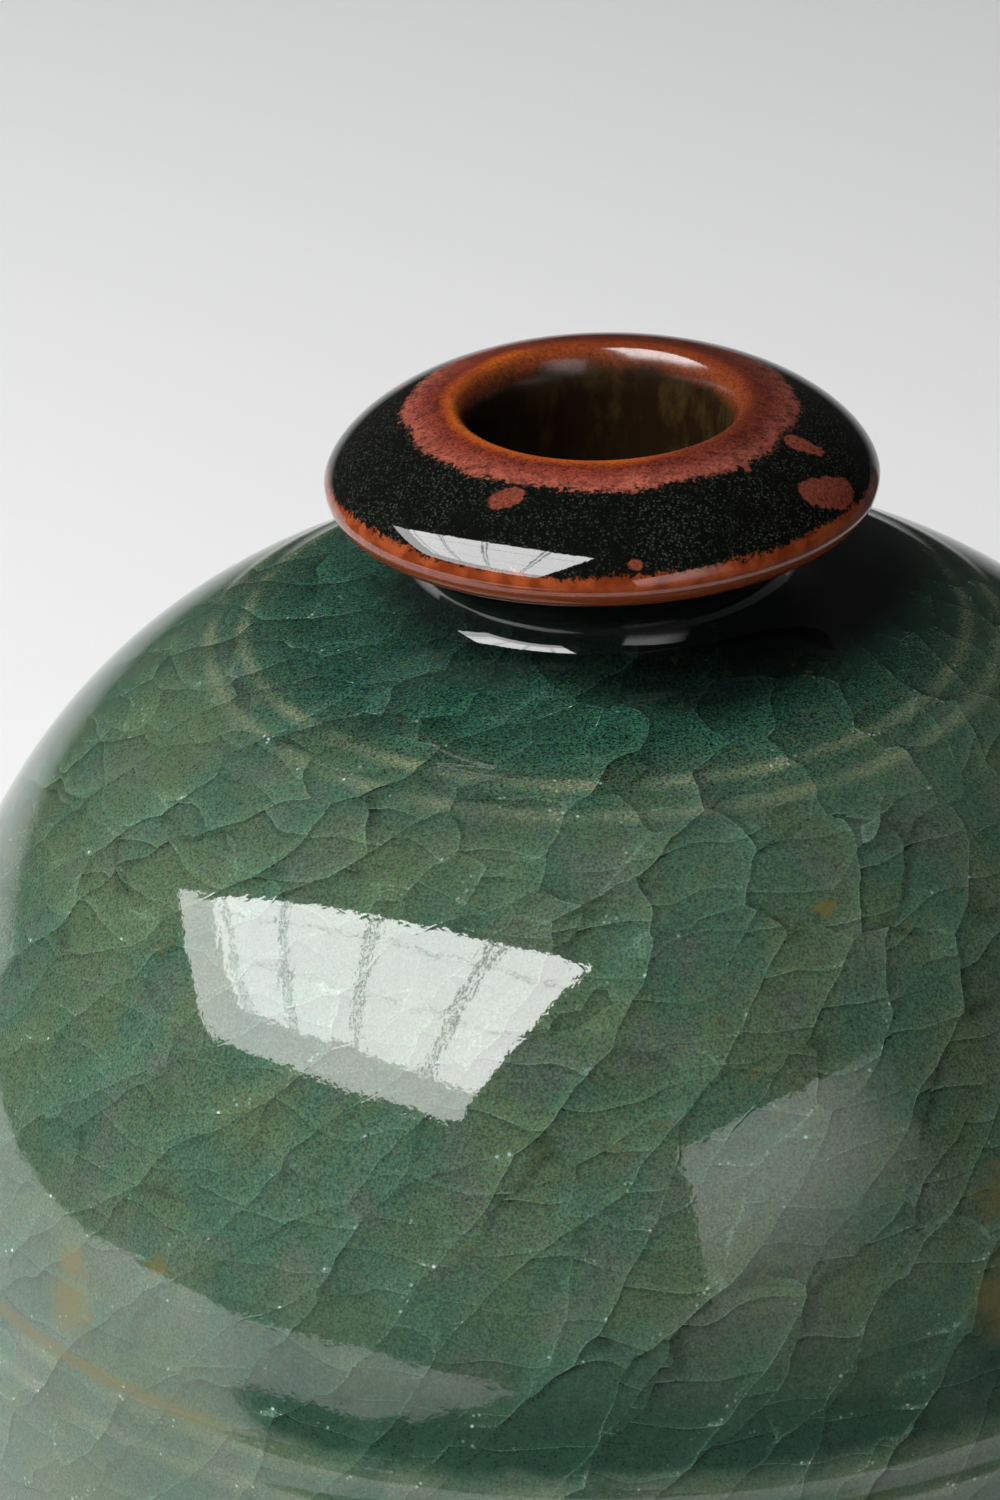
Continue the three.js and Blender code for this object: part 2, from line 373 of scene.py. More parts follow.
class Tone:
    """A value, vector or colour in a finish, which Python's operators carry into new nodes."""

    def __init__(self, finish, socket):
        self.finish = finish
        self.socket = socket

    def __getitem__(self, output):
        return Tone(self.finish, self.socket.node.outputs[output])

    def __add__(self, other):
        return self.finish.work("ADD", self, other)

    def __sub__(self, other):
        return self.finish.work("SUBTRACT", self, other)

    def __rsub__(self, other):
        return self.finish.work("SUBTRACT", other, self)

    def __mul__(self, other):
        return self.finish.work("MULTIPLY", self, other)

    def __pow__(self, power):
        return self.finish.work("POWER", self, power)

    __radd__ = __add__
    __rmul__ = __mul__


class Finish:
    """A node tree and the ways that its nodes are stirred together."""

    def __init__(self, tree):
        self.tree = tree
        tree.nodes.clear()

    def node(self, kind, settings=(), sockets=(), output=0):
        """Any node, by its type, its settings and the values or links of its sockets."""
        made = self.tree.nodes.new(kind)
        for key, value in dict(settings).items():
            if key == "stops":
                ramp = made.color_ramp
                while len(ramp.elements) < len(value):
                    ramp.elements.new(1.0)
                for stop, (place, colour) in zip(ramp.elements, value):
                    stop.position = place
                    stop.color = (*colour, 1.0)
            else:
                setattr(made, key, value)
        for key, value in dict(sockets).items():
            self.feed(made.inputs[key], value)
        return Tone(self, made.outputs[output]) if len(made.outputs) else None

    def feed(self, socket, value):
        if isinstance(value, Tone):
            self.tree.links.new(value.socket, socket)
        elif socket.type == "VECTOR" and not is_wide(value):
            socket.default_value = (value,) * 3
        elif socket.type == "RGBA":
            socket.default_value = (*value, 1.0) if is_wide(value) else (value, value, value, 1.0)
        else:
            socket.default_value = value

    def work(self, operation, first, second):
        """Sums, products and powers: Math on numbers, Vector Math as soon as one side is wide."""
        if not (is_wide(first) or is_wide(second)):
            return self.node("ShaderNodeMath", {"operation": operation}, {0: first, 1: second})
        if operation == "MULTIPLY" and is_wide(first) != is_wide(second):
            vector, scale = (first, second) if is_wide(first) else (second, first)
            return self.node(
                "ShaderNodeVectorMath", {"operation": "SCALE"}, {"Vector": vector, "Scale": scale}
            )
        return self.node("ShaderNodeVectorMath", {"operation": operation}, {0: first, 1: second})

    def place(self):
        """The point on the piece, in millimetres."""
        return self.node("ShaderNodeTexCoord", output="Object") * (1 / MM)

    def apart(self, vector):
        split = self.node("ShaderNodeSeparateXYZ", sockets={"Vector": vector})
        return split["X"], split["Y"], split["Z"]

    def cloud(self, place, size, detail=2.0, rough=0.5):
        """Soft noise with humps of a size in millimetres; its Color is a vector of three of them."""
        sockets = {"Vector": place, "Scale": 1 / size, "Detail": detail, "Roughness": rough}
        return self.node("ShaderNodeTexNoise", sockets=sockets)

    def sway(self, place, size, detail=2.0, rough=0.5):
        """The same noise about 0."""
        return self.cloud(place, size, detail, rough) - 0.5

    def drift(self, place, size, detail=2.0, rough=0.5):
        """Three such noises about 0, as a vector."""
        return self.cloud(place, size, detail, rough)["Color"] - HALF

    def cells(self, place, size, feature="F1"):
        return self.node("ShaderNodeTexVoronoi", {"feature": feature}, {"Vector": place, "Scale": 1 / size})

    def ease(self, value, low, high):
        """0 below low, 1 above high, and a smooth step between."""
        return self.node(
            "ShaderNodeMapRange",
            {"interpolation_type": "SMOOTHSTEP"},
            {"Value": value, "From Min": low, "From Max": high},
        )

    def near(self, value, middle, half, soft):
        """1 within half of middle, fading to 0 over the next soft."""
        away = self.node("ShaderNodeMath", {"operation": "ABSOLUTE"}, {0: value - middle})
        return 1 - self.ease(away, half, half + soft)

    def blend(self, mask, under, over):
        return self.node("ShaderNodeMix", {"data_type": "RGBA"}, {0: mask, 6: under, 7: over}, 2)

    def most(self, first, second):
        return self.node("ShaderNodeMath", {"operation": "MAXIMUM"}, {0: first, 1: second})

    def dot(self, first, second):
        settings = {"operation": "DOT_PRODUCT"}
        return self.node("ShaderNodeVectorMath", settings, {0: first, 1: second}, "Value")

    def gap(self, first, second):
        return self.node("ShaderNodeVectorMath", {"operation": "DISTANCE"}, {0: first, 1: second}, "Value")

    def fire(self, sockets, relief=None):
        """Puts the colour, gloss and relief, which is in millimetres, on the surface."""
        gloss = self.node("ShaderNodeBsdfPrincipled", sockets=sockets)
        if relief is not None:
            bump = self.node("ShaderNodeBump", sockets={"Strength": 1.0, "Distance": MM, "Height": relief})
            self.feed(gloss.socket.node.inputs["Normal"], bump)
        self.node("ShaderNodeOutputMaterial", sockets={"Surface": gloss})


def finished(name, recipe, *details):
    """A new material, its nodes laid by a recipe."""
    material = bpy.data.materials.new(name)
    material.use_nodes = True
    recipe(Finish(material.node_tree), *details)
    return material


GLASSY = {"IOR": 1.6, "Roughness": 0.035}


def flakes(finish, place, size):
    """The long cracks: the cell's own colour, the distance from a crack, and the way to its lit side."""
    cell = finish.cells(place, size)
    crack = finish.cells(place, size, "DISTANCE_TO_EDGE") * size
    round_about = finish.node(
        "ShaderNodeVectorMath", {"operation": "CROSS_PRODUCT"}, {0: (0.0, 0.0, 1.0), 1: place}
    )
    sideways = finish.node("ShaderNodeVectorMath", {"operation": "NORMALIZE"}, {0: round_about})
    way = sideways + (0.0, 0.0, -0.3) + (cell["Color"] - HALF) * 0.8
    across = finish.dot(place - cell["Position"], way) * (1 / size)
    return cell["Color"], crack, across


def cross_cracks(finish, down, size):
    """The short cracks between two long ones: a number of each piece, the distance, and the way down it."""
    settings = {"voronoi_dimensions": "1D"}
    steps = down * (1 / size)
    cell = finish.node("ShaderNodeTexVoronoi", settings, {"W": steps, "Scale": 1.0})
    settings = {**settings, "feature": "DISTANCE_TO_EDGE"}
    crack = finish.node("ShaderNodeTexVoronoi", settings, {"W": steps, "Scale": 1.0}) * size
    return cell["Color"], crack, steps - cell["W"]


# Brown blooms where iron came up through the celadon: point on the body, radius
BROWN_BLOOMS = [
    ((-41.0, -37.2, 62.6), 2.2),
    ((-40.6, -36.4, 65.6), 1.3),
    ((-34.5, -41.6, 68.4), 0.9),
    ((27.5, -46.5, 67.0), 3.4),
    ((26.0, -44.0, 74.0), 2.0),
    ((14.2, -35.6, 93.4), 0.7),
    ((31.0, 38.0, 72.0), 3.0),
]

# The crackle: how far flakes lean by radius and height, how they stretch upwards, and their sizes
FLAKE_LEAN = 0.011
FLAKE_STRETCH = (1.0, 1.0, 0.42)
FLAKE_SIZE = 5.5
CROSS_SIZE = 6.0

# Soft noises that bend the cracks: size, detail, reach
CRACK_DRIFTS = [(4.0, 1.0, 1.7), (0.9, 2.0, 0.16)]

# Where a change in the celadon begins and where it is complete, by height, radius or x
DOME_Z = (60.0, 80.0)
NECK_SHADE_R = (22.5, 33.0)
NECK_SHADOW_R = (14.0, 19.5)
NECK_SHADE_EDGE_R = (15.0, 23.0)
LIVELY_X = (-28.0, 2.0)
LIVELY_Z = (76.0, 92.0)
FRONT_X = (-33.0, -25.0)
DARK_REFLECTION_FOOT_Z = (59.4, 60.8)
DARK_REFLECTION_END_Z = (61.0, 71.0)
BLOOM_END_X = (-33.0, -26.0)

# The glaze's relief: broad and fine ripples, and the dip along a crack
RIPPLE = 0.018
FINE_RIPPLE = 0.007
CRACK_DIP = 0.0012

TEAL = (0.040, 0.082, 0.053)
OLIVE = (0.055, 0.086, 0.048)
SMOKE = (0.060, 0.080, 0.060)
NECK_TEAL_SHADED = (0.010, 0.042, 0.028)
NECK_SHADOW_TONE = (0.004, 0.010, 0.0075)
FRONT_REFLECTION_DARK = (0.010, 0.036, 0.022)
BROWN = (0.100, 0.083, 0.022)
CRACK_HIGHLIGHT = (0.16, 0.27, 0.20)
LINE_PALE = (0.120, 0.145, 0.088)
SPARKLE = (0.40, 0.50, 0.45)


def celadon_tone(finish, here):
    """Colour and relief of the crackled glaze at a place; a noise that is shifted matches no other."""
    x, y, z = finish.apart(here)
    radius = (x * x + y * y) ** 0.5

    lean = (radius - z) * FLAKE_LEAN
    leaning = finish.node(
        "ShaderNodeVectorRotate", {"rotation_type": "Z_AXIS"}, {"Vector": here, "Angle": lean}
    )
    swept = leaning * FLAKE_STRETCH + finish.drift(leaning, 15.0, 1.0) * 5.0
    for size, detail, reach in CRACK_DRIFTS:
        swept = swept + finish.drift(here, size, detail) * reach
    flake, long_crack, long_across = flakes(finish, swept, FLAKE_SIZE)
    number = finish.dot(flake, (31.0, 47.0, 23.0))
    slant = finish.sway(here, 9.0, 1.0) * 9.0 + finish.sway(here, 0.9) * 0.3
    run_down = radius * 0.8 - z * 0.9 + 70.0
    down = run_down + 0.005 * run_down * run_down + slant + number * 3.0
    piece, cross_crack, cross_down = cross_cracks(finish, down, CROSS_SIZE)

    top = finish.ease(z, *DOME_Z)
    near_neck = (1 - finish.ease(radius, *NECK_SHADE_R)) * top
    crossed = 1 - near_neck * 0.85
    calm = (1 - finish.ease(x, *LIVELY_X)) * (1 - finish.ease(z, *LIVELY_Z))
    bold = finish.ease(finish.cloud(here, 10.0), 0.34, 0.64)
    grain = finish.sway(here, 0.2, 2.0, 0.7)

    def edges(crack, across):
        """A crack's painted highlight on its lit side, the painted glow beside it, and the painted shade on
        its unlit side.
        """
        lit = finish.ease(across, 0.0, 0.35)
        unlit = 1 - finish.ease(across, -0.35, 0.0)
        highlight = (1 - finish.ease(crack + grain * 0.16, 0.02, 0.19)) * lit
        glow = (1 - finish.ease(crack, 0.0, 1.4)) * lit
        dusk = (1 - finish.ease(crack, 0.05, 0.7)) * unlit
        return highlight, glow, dusk

    long_highlight, long_glow, long_dusk = edges(long_crack, long_across)
    cross_highlight, cross_glow, cross_dusk = edges(cross_crack, cross_down)

    # Painted light and shade: each flake is lighter towards its lit side and darker beside a crack on its
    # unlit side
    painted_slope = 0.15 * long_across + crossed * 0.09 * cross_down
    shade = 0.20 * long_glow - 0.27 * long_dusk * (1 - 0.6 * near_neck)
    shade = shade + crossed * (0.16 * cross_glow - 0.18 * cross_dusk)
    own = 0.10 * (finish.dot(flake + piece, (0.33, 0.33, 0.33)) - 1.0)
    depth = (0.5 + 0.7 * bold + 0.5 * near_neck) * (1 - 0.35 * calm)
    # The body is painted a little darker towards the right, away from the light
    body = 0.82 - 0.002 * x + 0.18 * finish.cloud(here, 24.0) + (painted_slope + shade + own) * depth
    body = body + 0.16 * finish.sway(here, 2.4) + 0.34 * finish.sway(here, 0.6, 1.0)
    speckle = finish.drift(here + (2.0, 5.0, 1.0), 0.22, 2.0, 0.7)
    speckle = (speckle * 0.5 + grain * (1.1, 1.0, 1.05)) * (0.6 + 0.4 * top)

    hue = finish.blend(finish.ease(finish.cloud(here, 7.0, 3.0), 0.36, 0.64), TEAL, OLIVE)
    smoky = finish.ease(finish.cloud(here + (31.0, 7.0, 3.0), 5.0, 3.0), 0.48, 0.7)
    hue = finish.blend(smoky * 0.7, hue, SMOKE)
    # Deeper teal towards the neck: partly the glaze's own colour, partly painted shade under the collar
    hue = finish.blend(near_neck * 0.9, hue, NECK_TEAL_SHADED)
    # Painted shadow and dark reflection of the collar: near black round the neck, reaching further out on
    # the right
    shadow_shift = 5.0 * finish.ease(x, -4.0, 9.0) + 3.0 * finish.sway(here, 4.0)
    hue = finish.blend((1 - finish.ease(radius - shadow_shift, *NECK_SHADOW_R)) * top, hue, NECK_SHADOW_TONE)

    # Painted dark reflection of the dim floor in front: a darker band above the belly lines, on the front
    # and the right
    dark_reflection = finish.ease(z + 2.2 * finish.cloud(here, 4.0), *DARK_REFLECTION_FOOT_Z) * (1 - finish.ease(z, *DARK_REFLECTION_END_Z))
    dark_reflection = dark_reflection * finish.ease(x, *FRONT_X) * (0.5 + finish.ease(finish.cloud(here, 9.0), 0.3, 0.5) * 0.5)
    hue = finish.blend(dark_reflection * 0.85, hue, FRONT_REFLECTION_DARK)

    tone = hue * finish.most(body, 0.12)
    lines = string_lines(finish, radius, z)
    raised = lines * (0.22 + 0.45 * finish.cloud(here, 3.0) + 0.6 * long_across)
    tone = finish.blend(raised, tone, LINE_PALE)
    tone = tone + tone * speckle * (2.4 + 2.6 * near_neck)

    # The painted crack highlights and sparkles fade in the collar's painted shadow round the neck
    clear_of_neck_shade = finish.ease(radius - shadow_shift, *NECK_SHADE_EDGE_R) * 0.8 + 0.2
    fading = finish.ease(finish.cloud(here + (1.0, 6.0, 2.0), 3.4, 1.0), 0.34, 0.62) * (1 - 0.5 * near_neck)
    # Painted highlights: pale crack lines drawn only on their lit side
    highlights = finish.most(long_highlight, crossed * cross_highlight) * (0.12 + 0.88 * fading) * clear_of_neck_shade * (1 - 0.5 * calm)
    tone = finish.blend(highlights * (0.23 + 1.4 * grain), tone, CRACK_HIGHLIGHT)

    # Painted sparkles of light at crack corners and in showers along the cracks
    corner = finish.most(long_glow * cross_glow, near_neck * long_highlight)
    corner = corner * finish.ease(finish.cloud(here + (3.0, 1.0, 8.0), 3.0, 2.0), 0.53, 0.65) * clear_of_neck_shade
    tone = finish.blend(finish.ease(corner, 0.2, 0.8) * (0.3 + 2.0 * grain), tone, CRACK_HIGHLIGHT)
    dot_cells = finish.cells(here, 0.42)
    dots = (1 - finish.ease(dot_cells["Distance"], 0.15, 0.45)) * finish.ease(dot_cells["Color"], 0.5, 0.6)
    showers = finish.ease(finish.cloud(here + (8.0, 2.0, 5.0), 3.0, 4.0, 0.7), 0.55, 0.66)
    showers = showers * finish.most(finish.most(long_glow, cross_glow) * 0.6, lines) * clear_of_neck_shade
    tone = finish.blend(dots * finish.most(finish.ease(corner, 0.1, 0.5), showers), tone, SPARKLE)

    tone = stained(finish, here, z, x, tone)
    relief = RIPPLE * finish.cloud(here, 3.0, 1.0) + FINE_RIPPLE * finish.cloud(here, 0.7)
    relief = relief - CRACK_DIP * (1 - finish.ease(long_crack, 0.0, 0.15))
    return tone, relief


def string_lines(finish, radius, z):
    """1 along the crests of the string lines, where the glaze has run thin, fading off to both sides."""
    above = finish.ease(z, 70.0, 75.0)
    shoulder = [finish.near(radius, line, 0.05, 0.85) * above for line in SHOULDER_LINES_R]
    belly = [finish.near(z, line, 0.1, 0.9) * 0.6 for line in BELLY_LINES_Z]
    return reduce(add, shoulder + belly)


def stained(finish, here, z, x, tone):
    """The glaze with its brown blooms and small rusty freckles."""
    ragged = finish.sway(here, 2.0, 4.0, 0.7) * 6.0
    blooms = [
        1 - finish.ease(finish.gap(here, place) + ragged, 0.3 * reach, 1.5 * reach)
        for place, reach in BROWN_BLOOMS
    ]
    bloom = reduce(finish.most, blooms)
    at_line = finish.near(z, BELLY_LINES_Z[1] + 1.1, 0.1, 0.9) * (1 - finish.ease(x, *BLOOM_END_X))
    bloom = finish.most(bloom, at_line * 0.8)
    freckles = finish.ease(finish.cloud(here + (9.0, 4.0, 6.0), 1.1, 2.0), 0.62, 0.72)
    freckles = freckles * finish.ease(finish.cloud(here, 12.0), 0.45, 0.6)
    stain = finish.most(bloom * 0.7, freckles * 0.3)
    return finish.blend(stain, tone, BROWN)


def celadon_recipe(finish):
    tone, relief = celadon_tone(finish, finish.place())
    finish.fire({**GLASSY, "Base Color": tone}, relief)


# Rust spots on the collar: degrees round from the front, radius, and half width
RUST_SPOTS = [
    (-28.8, 16.4, 0.85),
    (-27.1, 16.1, 0.9),
    (-25.4, 15.8, 0.85),
    (65.6, 15.8, 0.95),
    (66.8, 16.4, 0.85),
    (68.0, 17.1, 0.65),
    (53.0, 18.8, 1.0),
    (56.0, 19.2, 1.35),
    (59.5, 19.6, 1.45),
    (63.0, 19.8, 1.15),
    (5.2, 20.2, 0.42),
    (43.0, 15.3, 0.4),
    (148.0, 16.4, 1.3),
    (-118.0, 17.2, 1.0),
    (-162.0, 19.4, 1.7),
]

# The rust at the lip, from the throat outwards
RUST_FROM_R = 10.0
RUST_WIDE = 4.9
RUST_STOPS = [
    (0.0, (0.085, 0.030, 0.014)),
    (0.10, (0.17, 0.042, 0.014)),
    (0.24, (0.36, 0.080, 0.010)),
    (0.34, (0.27, 0.048, 0.008)),
    (0.46, (0.13, 0.020, 0.009)),
    (0.72, (0.20, 0.042, 0.026)),
    (1.0, (0.33, 0.090, 0.057)),
]
BEAD_RED = (0.19, 0.036, 0.016)
BRUISE = (0.060, 0.012, 0.011)
PIT = (0.030, 0.008, 0.006)

IRON_BLACK = (0.0018, 0.0022, 0.0014)
IRON_SPECK = (0.042, 0.046, 0.035)
NOSE_DEEP = (0.12, 0.019, 0.004)
NOSE_PALE = (0.22, 0.046, 0.013)
SPOT_DEEP = (0.085, 0.018, 0.011)
SPOT_PALE = (0.20, 0.050, 0.029)
THROAT_SHADE = (0.004, 0.003, 0.002)
THROAT_DEEP = (0.020, 0.009, 0.003)
THROAT_PALE = (0.062, 0.038, 0.011)
LINER_DEEP = (0.02, 0.016, 0.006)
LINER_PALE = (0.09, 0.075, 0.025)
CLAY_FLECK = (0.06, 0.03, 0.015)
BARE_LIGHT = (0.42, 0.27, 0.16)
BARE_DARK = (0.22, 0.13, 0.075)
COVERED_LIGHT = (0.46, 0.33, 0.21)
COVERED_DARK = (0.30, 0.20, 0.12)

# Where a change on the collar begins and where it is complete, by height or radius
BLACK_Z = (103.5, 107.0)
LIP_END_R = (14.5, 15.0)
BEAD_END_R = (12.2, 13.2)
LIP_RUST_Z = (112.0, 113.6)
NOSE_END_Z = (112.45, 112.75)
NOSE_RUST_R = (17.0, 18.5)
NOSE_RUST_Z = (NOSE_Z - 2.2, NOSE_Z - 1.5)
NOSE_UPPER_Z = (NOSE_Z - 0.8, NOSE_Z + 0.5)
THROAT_END_R = (10.8, 11.2)
THROAT_END_Z = (115.5, 117.0)
THROAT_GLOSS_R = (10.2, 11.2)
COVE_Z = (103.0, 104.5)
COVE_END_Z = (NOSE_Z - 2.4, NOSE_Z - 1.7)
SPOT_SOFT = 0.12


def on_collar(degrees, radius):
    """The point of the collar's top at an angle from the front and a radius."""
    reach = NOSE_R - LIP_CREST_R
    angle = math.acos(((radius - LIP_CREST_R) / reach) ** (COLLAR_POWER / 2))
    height = NOSE_Z + (LIP_Z - NOSE_Z) * math.sin(angle) ** (2 / COLLAR_POWER)
    turn = math.radians(degrees)
    return (radius * math.sin(turn), -radius * math.cos(turn), height)


def iron_recipe(finish):
    here = finish.place()
    x, y, z = finish.apart(here)
    radius = (x * x + y * y) ** 0.5
    ragged = finish.sway(here, 0.42, 4.0, 0.7)
    wander = finish.sway(here, 3.6)
    wobble = finish.sway(here, 1.3, 1.0) * 0.5
    grain = finish.sway(here, 0.22, 2.0, 0.7)

    pale = finish.cells(here, 0.22)
    specks = (1 - finish.ease(pale["Distance"], 0.1, 0.6)) * finish.ease(pale["Color"], 0.2, 0.8)
    specks = specks * finish.ease(finish.cloud(here, 3.0), 0.2, 0.6)
    black = finish.blend(specks * 0.8, IRON_BLACK, IRON_SPECK)
    neck = 1 - finish.ease(z, *BLACK_Z)
    black = finish.blend(neck, black, celadon_tone(finish, here)[0])

    thin_bead = finish.ease(finish.cloud(here, 4.0, 1.0) + 0.02 * (x + 0.6 * y), 0.40, 0.62)
    outwards = radius - RUST_FROM_R + 1.0 * wander + 0.5 * ragged + 0.6 * thin_bead
    along = {"Fac": outwards * (1 / RUST_WIDE)}
    rust = finish.node("ShaderNodeValToRGB", {"stops": RUST_STOPS}, along, "Color")
    redder = thin_bead * (1 - finish.ease(radius, *BEAD_END_R)) * 0.6
    rust = finish.blend(redder, rust, BEAD_RED)
    bruise = finish.ease(finish.cloud(here, 0.9, 3.0, 0.6), 0.46, 0.64) * finish.ease(radius, 11.6, 12.4)
    rust = finish.blend(bruise * 0.6, rust, BRUISE)
    pits = finish.ease(finish.cloud(here, 0.32, 2.0, 0.6), 0.54, 0.66) * finish.ease(radius, 11.4, 12.0)
    rust = finish.blend(pits * 0.6, rust, PIT)
    # The rust is painted darker towards the right and the back, away from the light
    rust = rust * (1 + 2.0 * grain + 1.0 * ragged) * (1 - 0.45 * finish.ease(x + 0.5 * y, -7.0, 9.0))
    reach = radius + 1.5 * wander + 2.4 * ragged + 1.2 * grain
    lip_zone = (1 - finish.ease(reach, *LIP_END_R)) * finish.ease(z, *LIP_RUST_Z)

    height = z - 1.7 * ragged - 0.9 * wander
    nose_zone = (1 - finish.ease(height, *NOSE_END_Z)) * finish.ease(z, *NOSE_RUST_Z)
    nose_zone = nose_zone * finish.ease(radius, *NOSE_RUST_R)
    # The band is paler in patches towards the top of the nose and deeper underneath
    upper_pale = finish.ease(finish.cloud(here, 1.6), 0.35, 0.65) * finish.ease(z, *NOSE_UPPER_Z)
    band = finish.blend(upper_pale, NOSE_DEEP, NOSE_PALE) * (1 + 0.5 * grain)

    def spot(degrees, place, half):
        away = finish.gap(here, on_collar(degrees, place)) + ragged * 0.9 + wobble
        return 1 - finish.ease(away, half - SPOT_SOFT, half + SPOT_SOFT)

    spots = reduce(finish.most, [spot(*placed) for placed in RUST_SPOTS])
    spot_tone = finish.blend(0.5 + 3.0 * grain + ragged, SPOT_DEEP, SPOT_PALE)
    spot_tone = finish.blend(pits * 0.5, spot_tone, PIT)
    tone = finish.blend(spots, black, spot_tone)
    tone = finish.blend(lip_zone, tone, rust)
    tone = finish.blend(nose_zone, tone, band)

    down = z + 1.6 * wander + 0.7 * ragged
    throat = (1 - finish.ease(radius, *THROAT_END_R)) * (1 - finish.ease(down, *THROAT_END_Z))
    streaks = finish.cloud(here * (1.0, 1.0, 0.5), 2.6, 4.0, 0.65)
    mottle = finish.ease(streaks, 0.42, 0.68)
    inner = finish.blend(mottle, THROAT_DEEP, THROAT_PALE)
    inner = finish.blend(finish.ease(x, -9.0, 3.0) * 0.2 + 0.3, THROAT_SHADE, inner)
    tone = finish.blend(throat, tone, inner)
    cove = finish.ease(z, *COVE_Z) * (1 - finish.ease(z, *COVE_END_Z))
    gloss = GLASSY["Roughness"] + 0.16 * (1 - finish.ease(radius, *THROAT_GLOSS_R)) + 0.07 * cove

    relief = 0.006 * finish.cloud(here, 2.4, 1.0) + 0.006 * lip_zone * finish.cloud(here, 0.4, 2.0)
    relief = relief + 0.003 * finish.cloud(here, 0.6, 1.0)
    finish.fire({**GLASSY, "Base Color": tone, "Roughness": gloss}, relief)


def liner_recipe(finish):
    here = finish.place()
    streaks = finish.cloud(here * (1.0, 1.0, 0.25), 4.0, 3.0)
    tone = finish.blend(finish.ease(streaks, 0.35, 0.7), LINER_DEEP, LINER_PALE)
    finish.fire({**GLASSY, "Base Color": tone})


def stoneware_recipe(finish, light, dark):
    here = finish.place()
    grit = finish.ease(finish.cloud(here, 0.3, 3.0, 0.7), 0.3, 0.7)
    tone = finish.blend(grit, dark, light)
    flecks = finish.ease(finish.cloud(here, 0.7, 1.0), 0.68, 0.74)
    tone = finish.blend(flecks * 0.7, tone, CLAY_FLECK)
    finish.fire({"Base Color": tone, "Roughness": 0.85}, 0.03 * finish.cloud(here, 0.4, 3.0, 0.7))


celadon = finished("celadon_crackle", celadon_recipe)
iron = finished("iron_glaze_broken_to_rust", iron_recipe)
olive = finished("olive_liner", liner_recipe)
bare_clay = finished("bare_stoneware", stoneware_recipe, BARE_LIGHT, BARE_DARK)
covered_clay = finished("covered_stoneware", stoneware_recipe, COVERED_LIGHT, COVERED_DARK)

PIECES = [
    ("celadon_coat", body_coat(), celadon, "celadon_glaze", "celadon", thrown),
    ("iron_coat", collar_coat(), iron, "iron_glaze", "iron_black", None),
    ("liner_coat", liner_coat(), olive, "liner_glaze", "olive_liner", None),
    ("foot_rim", foot_profile(), bare_clay, "foot_ring", "bare_stoneware", None),
    ("well_coat", well_profile(), celadon, "foot_well_glaze", "celadon", None),
]
for name, profile, material, node, slot, shape in PIECES:
    piece = turned(name, profile, material, shape)
    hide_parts(node)
    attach(piece, "root")

for node in ("lower_body", "shoulder", "mouth_collar"):
    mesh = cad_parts[node].data
    mesh.materials.clear()
    mesh.materials.append(covered_clay)


# Table, lamps and camera

FLOOR_HALF = 4000
# The table is painted a little darker further back, where the light falls off
TABLE_NEAR = (0.80, 0.80, 0.80)
TABLE_FAR_SHADED = (0.745, 0.755, 0.76)
FAR_Y = (220, 520)


def table_recipe(finish):
    y = finish.apart(finish.place())[1]
    tone = finish.blend(finish.ease(y, *FAR_Y), TABLE_NEAR, TABLE_FAR_SHADED)
    finish.fire({"Base Color": tone, "Roughness": 0.9})


def flat(name, corner_lists, material):
    """A mesh of flat four-cornered faces, in millimetres."""
    places = [[value * MM for value in corner] for corners in corner_lists for corner in corners]
    faces = [[4 * i + k for k in range(4)] for i in range(len(corner_lists))]
    mesh = bpy.data.meshes.new(name)
    mesh.from_pydata(places, [], faces)
    mesh.materials.append(material)
    made = bpy.data.objects.new(name, mesh)
    bpy.context.scene.collection.objects.link(made)
    return made


WHITE = (1.0, 1.0, 1.0)
WINDOW_PALE = (1.0, 0.97, 0.98)
WINDOW_FADED = (0.03, 0.03, 0.03)
WINDOW_LIGHT = 1.7
WINDOW_FADE_X = (500.0, 1300.0)
WINDOW_FADE_DOWN = (-420.0, 20.0)


def light_recipe(finish, strength):
    light = finish.node("ShaderNodeEmission", sockets={"Color": WHITE, "Strength": strength})
    finish.node("ShaderNodeOutputMaterial", sockets={"Surface": light})


def side_window_recipe(finish):
    """A weak window that fades to the right and downwards."""
    x, _, z = finish.apart(finish.place())
    fade = 1 - 0.9 * finish.ease(x, *WINDOW_FADE_X)
    fade = fade * (1 - 0.95 * finish.ease(0.25 * x - z, *WINDOW_FADE_DOWN))
    glow = finish.blend(fade, WINDOW_FADED, WINDOW_PALE)
    light = finish.node("ShaderNodeEmission", sockets={"Color": glow, "Strength": WINDOW_LIGHT})
    finish.node("ShaderNodeOutputMaterial", sockets={"Surface": light})


# A level skylight in panes, by the corners of its glass, with a grey shaft wall along two sides
SKYLIGHT_Z = 1000
FAR_LEFT = np.array([-1235, 262])
FAR_RIGHT = np.array([-61, -470])
NEAR_RIGHT = np.array([-590, -1134])
NEAR_LEFT = np.array([-1560, -312])
SHAFT_FAR_LEFT = np.array([-1484, 477])
SHAFT_NEAR_LEFT = np.array([-2073, -384])
SHAFT_NEAR_RIGHT = np.array([-789, -1373])
MULLIONS = [0.05, 0.07, 0.29, 0.31, 0.55, 0.57, 0.81, 0.83]
CROSS_BARS = [0.14, 0.50]
MULLION_HALF = 0.004
CROSS_HALF = 0.003
GLASS_LIGHT = 11.0
BAR_LIGHT = 3.0
SHAFT_LIGHT = 5.6


